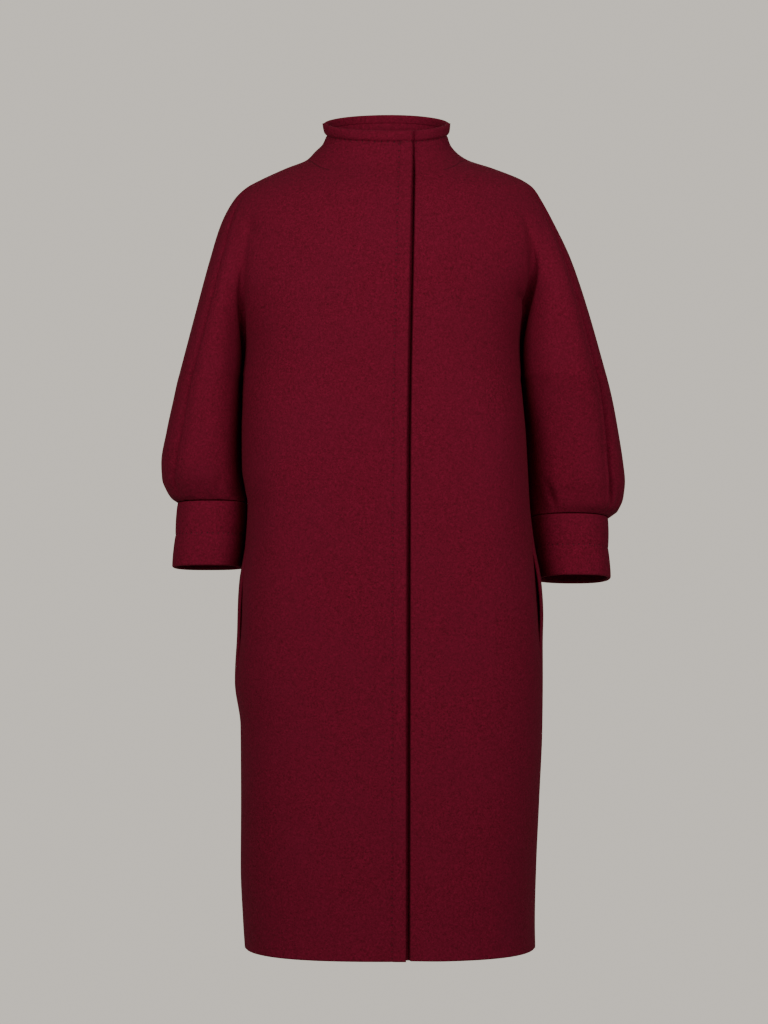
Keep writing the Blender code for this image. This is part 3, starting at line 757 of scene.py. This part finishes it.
def folds(cloth, way):
    """The creases laid in one by one, on the front (-1) or the back (1) of the coat. Each runs from one point
    of the front view to another and is deepest at its middle."""
    total = np.zeros(len(cloth))
    place = cloth[:, [0, 2]]
    for x, height, to_x, to_height, width, depth, side in zip(*FOLDS.values()):
        start, step = np.array([x, height]), np.array([to_x - x, to_height - height])
        share = ((place - start) @ step) / (step @ step)
        away = np.linalg.norm(place - start - np.clip(share, 0, 1)[:, None] * step, axis=1)
        taper = fade(share / 0.4) * fade((1 - share) / 0.4)
        total += (side == way) * depth * dip(away / width) * (0.25 + 0.75 * taper)
    return total


def rise_of(side, cloth, way):
    """How far the cloth of a side stands out from its plain form, apart from what only one panel has."""
    height, from_seam, around = cloth[:, HEIGHT], cloth[:, SEAM], cloth[:, AROUND]
    from_rim = COLLAR_TOP - height
    rise = -groove(side, height, from_seam) - gathers(side, height, around) - folds(cloth, way)
    rise -= read(CREASE, side, height) * dip(cloth[:, SIDE] / CREASE_WIDTH)
    rise -= stitch_trough(from_rim, COLLAR_STITCH, COLLAR_TROUGH)
    return rise + doubled(from_rim, COLLAR_STITCH, COLLAR_PLUMP)


def thickness_of(cloth):
    """The wall's thickness: one layer, and two that pad each other at the collar's rim and at the hem."""
    rim = doubled(COLLAR_TOP - cloth[:, HEIGHT], COLLAR_STITCH, COLLAR_PLUMP)
    return WALL + rim * RIM_PAD + doubled(cloth[:, HEIGHT] - HEM, HEM_TURNING, EDGE_PLUMP) * HEM_PAD


def roll_of(side, cloth):
    """How wide each point's edge is rolled, as a share of its thickness: little where it is sewn to the next
    panel at the overarm, the side or the cuff, and fully at a free edge and in a pocket's mouth."""
    below = cloth[:, HEIGHT] < SPLIT_HEIGHT
    cuffed = (cloth[:, AROUND] > 1) & (cloth[:, HEIGHT] < SLEEVE[side]["height"][-1] + 1e-6)
    beside = below & (np.abs(cloth[:, SIDE]) < 1e-6)
    free = np.where(beside, pocket_opening(side, cloth[:, HEIGHT]), 1.0)
    free = np.where((np.abs(cloth[:, SEAM]) < 1e-6) | cuffed, 0.0, free)
    return SEAM_ROLL_SHARE + free * (ROLL_SHARE - SEAM_ROLL_SHARE)


def stitch_marks(cloth, points, out):
    """The marks of a panel's stitches and neck dart, and the lines of the stitches themselves.

    A point's stitch mark is its distance from the nearer line of stitches and the number of stitches up to
    there. Its dart mark is its distance from the dart's line, a straight line that bows by
    bow * sin(pi * share), and how far the dart shows, which fades out at both ends."""
    angle = np.arctan2(cloth[:, 0], -cloth[:, 1])
    marks = np.ones((len(cloth), 3))
    lines = []
    for from_line, key in ((COLLAR_TOP - COLLAR_STITCH - cloth[:, HEIGHT], angle),
                           (cloth[:, EDGE] - EDGE_STITCH, -cloth[:, HEIGHT])):
        on_line = (np.abs(from_line) < 1e-6) & (cloth[:, HEIGHT] < COLLAR_TOP - COLLAR_STITCH + 1e-6)
        order = np.argsort(key[on_line])
        line, outwards = points[on_line][order], out[on_line][order]
        if len(line) > 1:
            run = np.concatenate([[0], np.cumsum(np.linalg.norm(np.diff(line, axis=0), axis=1))])
            count = np.interp(key, key[on_line][order], run) / STITCH_PITCH
            nearer = np.abs(from_line) < np.abs(marks[:, 0])
            marks[nearer, 0], marks[nearer, 1] = from_line[nearer], count[nearer]
            lines.append((line, outwards, run))
    length = np.linalg.norm(DART_END - DART_START)
    step = (DART_END - DART_START) / length
    place = np.stack([np.abs(cloth[:, 0] - DART_MIDDLE), cloth[:, 2]], axis=1) - DART_START
    share = place @ step / length
    dart = np.zeros((len(cloth), 3))
    dart[:, 0] = place @ np.array([-step[1], step[0]]) - DART_BOW * np.sin(np.clip(share, 0, 1) * np.pi)
    dart[:, 1] = DART_SHOWS * fade((share + 0.35) / 0.2) * fade((1.1 - share) / 0.2) * (cloth[:, 1] < 0)
    return {"stitch": marks, "dart": dart}, lines


def shell(name, cloth, faces, out, rise, thickness, roll, keep):
    """A panel's wall of cloth, risen from its plain form, and the lines of its stitches."""
    points = cloth[:, :3] + out * rise[:, None]
    marks, lines = stitch_marks(cloth, points, out)
    return cloth_wall(name, points, faces, thickness, roll, marks, keep), lines


def top_front(cloth, faces, out):
    """The front that lies on top, with a plump folded edge."""
    plump = doubled(cloth[:, EDGE], EDGE_STITCH, EDGE_PLUMP)
    from_rim = COLLAR_TOP - cloth[:, HEIGHT]
    rise = rise_of("left", cloth, -1) + np.maximum(plump - doubled(from_rim, COLLAR_STITCH, COLLAR_PLUMP), 0)
    rise += pocket_lift("left", cloth, -POCKET_GAPE["left"])
    rise -= stitch_trough(cloth[:, EDGE], EDGE_STITCH, EDGE_TROUGH) * fade(from_rim / COLLAR_STITCH)
    thickness = np.maximum(thickness_of(cloth), WALL + plump * EDGE_PAD)
    return shell("front_left_shell", cloth, faces, out, rise, thickness, roll_of("left", cloth), -1)


def under_front(cloth, faces, out):
    """The front that lies underneath: it sinks by a wall and a gap as far as the other one reaches over
    it, and in a slot along the other one's edge."""
    beyond = cloth[:, 0] - read(LAP, "reach", cloth[:, HEIGHT])
    sunk = (WALL + LAYER_GAP) * fade(1 - (beyond - MM) / LAP_RAMP)
    slot, reach = (read(SLOT, name, cloth[:, HEIGHT]) for name in ("depth", "beyond"))
    sunk += slot * fade(1 - (beyond - reach) / SLOT_WALL)
    rise = rise_of("right", cloth, -1) + pocket_lift("right", cloth, -POCKET_GAPE["right"]) - sunk
    thickness = thickness_of(cloth)
    return shell("front_right_shell", cloth, faces, out, rise, thickness, roll_of("right", cloth), -1)


def back(cloth, faces, out):
    """The back, which stands a little proud at both pockets."""
    on_left = cloth[:, 0] < 0
    rise = [rise_of(side, cloth, 1) + pocket_lift(side, cloth, POCKET_LIFT) for side in ("left", "right")]
    roll = np.where(on_left, roll_of("left", cloth), roll_of("right", cloth))
    return shell("back_shell", cloth, faces, out, np.where(on_left, *rise), thickness_of(cloth), roll, 1)


def cuff(side):
    """A cuff: a doubled band round the arm that widens a little towards its lower edge."""
    top, bottom = CUFF[side]["height"][[0, -1]]
    heights = np.linspace(top, bottom, 41)
    curve, _ = arm_curve(CUFF[side], heights)
    flat = along(curve, run_along(*curve)[:, -1:] * np.linspace(0, 1, 97)[None])
    rows = grid(flat, heights, read(CUFF[side], "tilt", heights), side)
    ids = numbered(rows)
    ids[:, -1] = ids[:, 0]
    faces = quads(ids)
    used, faces = np.unique(faces, return_inverse=True)
    cloth, faces = rows.reshape(-1, rows.shape[2])[used], faces.reshape(-1, 4)
    faces = faces if side == "right" else faces[:, ::-1]
    down = (top - cloth[:, HEIGHT]) / (top - bottom)
    rise = CUFF_PLUMP * np.abs(np.sin(down * 2 * np.pi)) ** 0.5
    out = way_out(cloth[:, :3], faces)
    points = cloth[:, :3] + out * rise[:, None]
    thickness = WALL + doubled((1 - down) * (top - bottom), 0.02, EDGE_PLUMP)
    from_line = (down - 0.5) * (top - bottom)
    middle = np.abs(from_line) < 1e-6
    length = cloth[middle, RUN].max()
    pitch = length / np.round(length / CUFF_STITCH_PITCH)
    marks = {"stitch": np.stack([from_line, cloth[:, RUN] / pitch, 0 * down], axis=1)}
    roll = SEAM_ROLL_SHARE + fade(down / 0.1) * (ROLL_SHARE - SEAM_ROLL_SHARE)
    lines = [(points[middle], out[middle], cloth[middle, RUN] / pitch * STITCH_PITCH)]
    return cloth_wall("cuff_" + side + "_shell", points, faces, thickness, roll, marks), lines


def pocket(side):
    """The strip that closes a pocket's mouth: it runs from under the front's edge to inside the back's."""
    top = POCKET_TOP[side] + POCKET_END
    heights = np.linspace(top, top - POCKET_LENGTH - 2 * POCKET_END, 60)
    curve, seam = body_curve(side, heights)
    places = np.linspace(STRIP_FROM, STRIP_TO, 23)
    flat = along(curve, seam + places)
    rows = grid(flat, heights, 0 * heights, side, side_seam=places[None])
    cloth, faces = rows.reshape(-1, rows.shape[2]), quads(numbered(rows))
    faces = faces if side == "right" else faces[:, ::-1]
    gape = pocket_opening(side, cloth[:, HEIGHT]) * POCKET_GAPE[side]
    rise = -WALL - FACING_GAP - gape * fade((0.0075 - cloth[:, SIDE]) / 0.006)
    points = cloth[:, :3] + way_out(cloth[:, :3], faces) * rise[:, None]
    return cloth_wall("pocket_" + side + "_strip", points, faces, POCKET_FACING_WALL, ROLL_SHARE)


def threads(name, lines):
    """The stitches of some lines: a thread that shows for a short way at each pitch and lies in its dimple.
    Each is a spindle of square section whose half width is THREAD times sqrt(sin t)."""
    t = np.linspace(0.08, 0.92, 6)
    corner = np.linspace(0, 2 * np.pi, 5)[:-1]
    wide = THREAD * np.sqrt(np.sin(t * np.pi))
    everything, faces, count = [], [], 0
    for line, out, run in lines:
        places = (np.arange(int(run[-1] / STITCH_PITCH)) + 0.5) * STITCH_PITCH
        centre, outwards, ahead = (np.stack([np.interp(at, run, part[:, k]) for k in range(3)], axis=1)
                                   for at, part in ((places, line), (places, out), (places + 0.001, line)))
        ahead = ahead - centre
        ahead /= np.linalg.norm(ahead, axis=1)[:, None]
        aside = np.cross(outwards, ahead)
        shape = ahead[:, None, None] * ((t - 0.5) * THREAD_LENGTH)[None, :, None, None]
        shape = shape + aside[:, None, None] * (wide[:, None] * np.cos(corner))[None, ..., None]
        shape = shape + outwards[:, None, None] * (wide[:, None] * np.sin(corner))[None, ..., None]
        shape = shape + (centre - outwards * THREAD * 0.4)[:, None, None]
        everything.append(shape.reshape(-1, 3))
        ids = count + np.arange(shape[..., 0].size).reshape(shape.shape[:3])
        ring = ids[..., [0, 1, 2, 3, 0]]
        sides = ring[:, :-1, :-1], ring[:, :-1, 1:], ring[:, 1:, 1:], ring[:, 1:, :-1]
        faces.append(np.stack(sides, -1).reshape(-1, 4))
        faces += [ids[:, 0, ::-1], ids[:, -1]]
        count += ids.size
    return put_in_mesh(name, np.concatenate(everything), np.concatenate(faces))


def srgb(hex_colour):
    """A colour given as hex sRGB, turned to linear light."""
    values = np.array([int(hex_colour[k:k + 2], 16) for k in (1, 3, 5)]) / 255
    linear = np.where(values <= 0.04045, values / 12.92, ((values + 0.055) / 1.055) ** 2.4)
    return (*linear.tolist(), 1.0)


def node(tree, kind, settings=None, **links):
    """Adds a node, sets its own settings, and fills each named socket from a value or another's output."""
    made = tree.nodes.new("ShaderNode" + kind)
    for name, value in (settings or {}).items():
        setattr(made, name, value)
    for name, value in links.items():
        socket = made.inputs[int(name[1:])] if name[0] == "_" else made.inputs[name.replace("_", " ")]
        if isinstance(value, bpy.types.NodeSocket):
            tree.links.new(value, socket)
        else:
            socket.default_value = value
    return made


def felted_wool():
    """Double-faced wool coating, woven, then fulled and napped. Its crinkled pile hides the weave and
    scatters light at grazing angles, so the cloth has no gloss and its edges look soft."""
    material = bpy.data.materials.new("felted_wool")
    material.use_nodes = True
    tree = material.node_tree
    shader = tree.nodes["Principled BSDF"]
    place = node(tree, "TexCoord").outputs["Object"]
    # Tufts of the nap, about 2 mm across, drawn a little coarser than the real 1.5 mm so that they show
    tufts = node(tree, "TexNoise", Vector=place, Scale=430.0, Detail=3.0,
                 Roughness=0.62, Distortion=0.9)
    # Fibres within the tufts, 0.5 mm
    fibres = node(tree, "TexNoise", Vector=place, Scale=1500.0, Detail=2.0,
                  Roughness=0.6)
    # Uneven dye and handling, over 60 mm
    clouds = node(tree, "TexNoise", Vector=place, Scale=14.0, Detail=3.0,
                  Roughness=0.55)
    # The nap's colour follows the tufts: darker in their hollows and lighter on their tops. This is partly
    # the fibres' own tone and partly painted shade in the hollows.
    spread = node(tree, "MapRange", Value=tufts.outputs["Fac"], From_Min=0.3, From_Max=0.7)
    nap_tone_and_hollow_shade = node(tree, "Mix", {"data_type": "RGBA"}, Factor=spread.outputs["Result"],
                      _6=srgb("#520518"), _7=srgb("#801131"))
    shade = node(tree, "MapRange", Value=clouds.outputs["Fac"], From_Min=0.3, From_Max=0.7,
                 To_Min=0.0, To_Max=0.35)
    colour = node(tree, "Mix", {"data_type": "RGBA"}, Factor=shade.outputs["Result"],
                  _6=nap_tone_and_hollow_shade.outputs["Result"], _7=srgb("#6a0f2b"))
    # Dimples, 2.5 mm across the line and 2 mm along it, where a stitch goes in at the middle of each pitch
    stitch = node(tree, "SeparateXYZ",
                  Vector=node(tree, "Attribute", {"attribute_name": "stitch"}).outputs["Vector"])
    share = node(tree, "Math", {"operation": "FRACT"}, _0=stitch.outputs["Y"])
    centred = node(tree, "Math", {"operation": "SUBTRACT"}, _0=share.outputs[0], _1=0.5)
    offset = node(tree, "CombineXYZ", X=stitch.outputs["X"], Y=centred.outputs[0])
    scaled = node(tree, "VectorMath", {"operation": "MULTIPLY"}, _0=offset.outputs[0], _1=(810, 7.8, 1))
    away = node(tree, "VectorMath", {"operation": "LENGTH"}, _0=scaled.outputs[0])
    dimple = node(tree, "MapRange", {"interpolation_type": "SMOOTHSTEP"}, Value=away.outputs["Value"],
                  From_Min=0.25, From_Max=1.4, To_Min=0.6, To_Max=0.0)
    # The neck dart, a seam line 2 mm wide
    dart = node(tree, "SeparateXYZ",
                Vector=node(tree, "Attribute", {"attribute_name": "dart"}).outputs["Vector"])
    beside = node(tree, "Math", {"operation": "ABSOLUTE"}, _0=dart.outputs["X"])
    line = node(tree, "MapRange", {"interpolation_type": "SMOOTHSTEP"}, Value=beside.outputs[0],
                From_Min=0.0002, From_Max=0.0012, To_Min=1.0, To_Max=0.0)
    seam = node(tree, "Math", {"operation": "MULTIPLY"}, _0=line.outputs["Result"], _1=dart.outputs["Y"])
    sunk = node(tree, "Math", {"operation": "MAXIMUM"}, _0=dimple.outputs["Result"], _1=seam.outputs[0])
    # The stitch dimples and the dart's line are darkened towards deep red. This is painted shade in these
    # hollows, besides the bump that sinks them.
    dimple_and_dart_painted_shade = node(tree, "Math", {"operation": "MULTIPLY"}, _0=sunk.outputs[0], _1=0.6)
    shadowed = node(tree, "Mix", {"data_type": "RGBA"}, Factor=dimple_and_dart_painted_shade.outputs[0],
                    _6=colour.outputs["Result"], _7=srgb("#2a0410"))
    tree.links.new(shadowed.outputs["Result"], shader.inputs["Base Color"])
    fine = node(tree, "Bump", Strength=0.18, Distance=0.0004, Height=fibres.outputs["Fac"])
    coarse = node(tree, "Bump", Strength=0.6, Distance=0.0012, Height=tufts.outputs["Fac"],
                  Normal=fine.outputs["Normal"])
    pulled = node(tree, "Bump", {"invert": True}, Strength=0.9, Distance=0.0012, Height=sunk.outputs[0],
                  Normal=coarse.outputs["Normal"])
    tree.links.new(pulled.outputs["Normal"], shader.inputs["Normal"])
    shader.inputs["Roughness"].default_value = 0.92
    shader.inputs["Specular IOR Level"].default_value = 0.2
    shader.inputs["Sheen Weight"].default_value = 0.08
    shader.inputs["Sheen Roughness"].default_value = 0.45
    shader.inputs["Sheen Tint"].default_value = srgb("#c04a5a")
    return material


def sewing_thread():
    """Spun polyester sewing thread dyed to match the cloth and smoother than it. Its colour is set darker
    than the cloth's as painted shade of the dimple it lies in.
    Its twist shows as fine slanting bars, 0.5 mm apart."""
    material = bpy.data.materials.new("spun_polyester_thread")
    material.use_nodes = True
    tree = material.node_tree
    shader = tree.nodes["Principled BSDF"]
    place = node(tree, "TexCoord").outputs["Object"]
    twist = node(tree, "TexWave", {"bands_direction": "DIAGONAL"}, Vector=place, Scale=2000.0 / np.pi)
    # Both thread colours are darker than the cloth's: painted shade of the dimples the stitches lie in
    colour = node(tree, "Mix", {"data_type": "RGBA"}, Factor=twist.outputs["Fac"],
                  _6=srgb("#3d0615"), _7=srgb("#5c0d20"))
    tree.links.new(colour.outputs["Result"], shader.inputs["Base Color"])
    shader.inputs["Roughness"].default_value = 0.6
    return material


def camera():
    """The camera of the photograph: level, straight before the coat, 3.4 m away."""
    data = bpy.data.cameras.new("camera")
    data.sensor_fit = "AUTO"
    data.sensor_width = 36.0
    data.lens = 18.0 / (0.64 / 3.4)
    made = put_in_scene("camera", data)
    made.location = (-0.0075, -3.4, -0.440)
    made.rotation_euler = (np.pi / 2, 0, 0)
    bpy.context.scene.camera = made


def soft_box(name, place, size, power, colour, aim=(0, 0, -0.45)):
    """A large soft light that faces the coat."""
    data = bpy.data.lights.new(name, "AREA")
    data.shape = "RECTANGLE"
    data.size, data.size_y = size
    data.energy = power
    data.color = srgb(colour)[:3]
    made = put_in_scene(name, data)
    made.location = place
    direction = np.array(aim) - np.array(place)
    made.rotation_euler = (np.arctan2(np.hypot(*direction[:2]), -direction[2]), 0,
                           np.arctan2(direction[1], direction[0]) - np.pi / 2)
    made.visible_camera = False


def studio():
    """A plain pale floor under an even grey surround, a large light to each side of the camera and one behind
    the coat that only its back catches."""
    world = bpy.data.worlds.new("studio")
    bpy.context.scene.world = world
    world.use_nodes = True
    tree = world.node_tree
    light = tree.nodes["Background"]
    light.inputs["Color"].default_value = srgb("#c3c4c8")
    light.inputs["Strength"].default_value = 0.16
    backdrop = node(tree, "Background", Color=srgb("#e2dbd0"), Strength=1.0)
    seen = node(tree, "LightPath").outputs["Is Camera Ray"]
    both = node(tree, "MixShader", _0=seen, _1=light.outputs[0], _2=backdrop.outputs[0])
    tree.links.new(both.outputs[0], tree.nodes["World Output"].inputs["Surface"])
    soft_box("left_light", (-1.15, -1.75, 0.45), (1.2, 1.2), 24, "#fffaf4", aim=(0, 0, -0.10))
    soft_box("right_light", (1.15, -1.75, 0.45), (1.2, 1.2), 23, "#fffaf4", aim=(0, 0, -0.10))
    soft_box("back_light", (0, 2.5, 0.10), (1.6, 1.6), 42, "#fffaf4", aim=(0, 0, -0.40))
    turn = np.linspace(0, 2 * np.pi, 65)[:-1]
    reach = np.array([0.0001, 1.9])[:, None]
    points = np.stack([reach * np.cos(turn), reach * np.sin(turn), np.full((2, 64), FLOOR)], axis=-1)
    ids = numbered(points)
    floor = put_in_mesh("floor", points.reshape(-1, 3), quads(np.concatenate([ids, ids[:, :1]], axis=1)))
    material = bpy.data.materials.new("painted_floor")
    material.use_nodes = True
    paint = material.node_tree.nodes["Principled BSDF"].inputs
    paint["Base Color"].default_value = srgb("#bdbab6")
    paint["Roughness"].default_value = 0.9
    floor.data.materials.append(material)


camera()
studio()
wool, thread = felted_wool(), sewing_thread()
left_front, right_front, whole_back = sew(front_panel("left"), front_panel("right"), back_panel())

on_top, top_lines = top_front(*left_front)
underneath, under_lines = under_front(*right_front)
behind, back_lines = back(*whole_back)
(left_cuff, left_cuff_lines), (right_cuff, right_cuff_lines) = cuff("left"), cuff("right")

# Each shell with the node it stands for and the cut of its cloth: width, length and flat area
pieces = [
    (on_top, "front_left", (0.60, 1.06), 0.30),
    (underneath, "front_right", (0.60, 1.06), 0.30),
    (behind, "back", (1.10, 1.08), 0.62),
    (left_cuff, "cuff_left", (0.28, 0.085), None),
    (right_cuff, "cuff_right", (0.28, 0.085), None),
    (pocket("left"), "pocket_left", (0.040, 0.225), None),
    (pocket("right"), "pocket_right", (0.040, 0.225), None),
]
stitches = [
    threads("stitches_front_edge_and_collar", top_lines),
    threads("stitches_collar_underneath", under_lines[:1]),
    threads("stitches_collar_back", back_lines[:1]),
    threads("stitches_cuff_left", left_cuff_lines),
    threads("stitches_cuff_right", right_cuff_lines),
]
for piece in stitches:
    piece.data.materials.append(thread)
    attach(piece, "root")
for piece, name, flat, area in pieces:
    piece.data.materials.append(wool)
    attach(piece, "root")
    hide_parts(name)
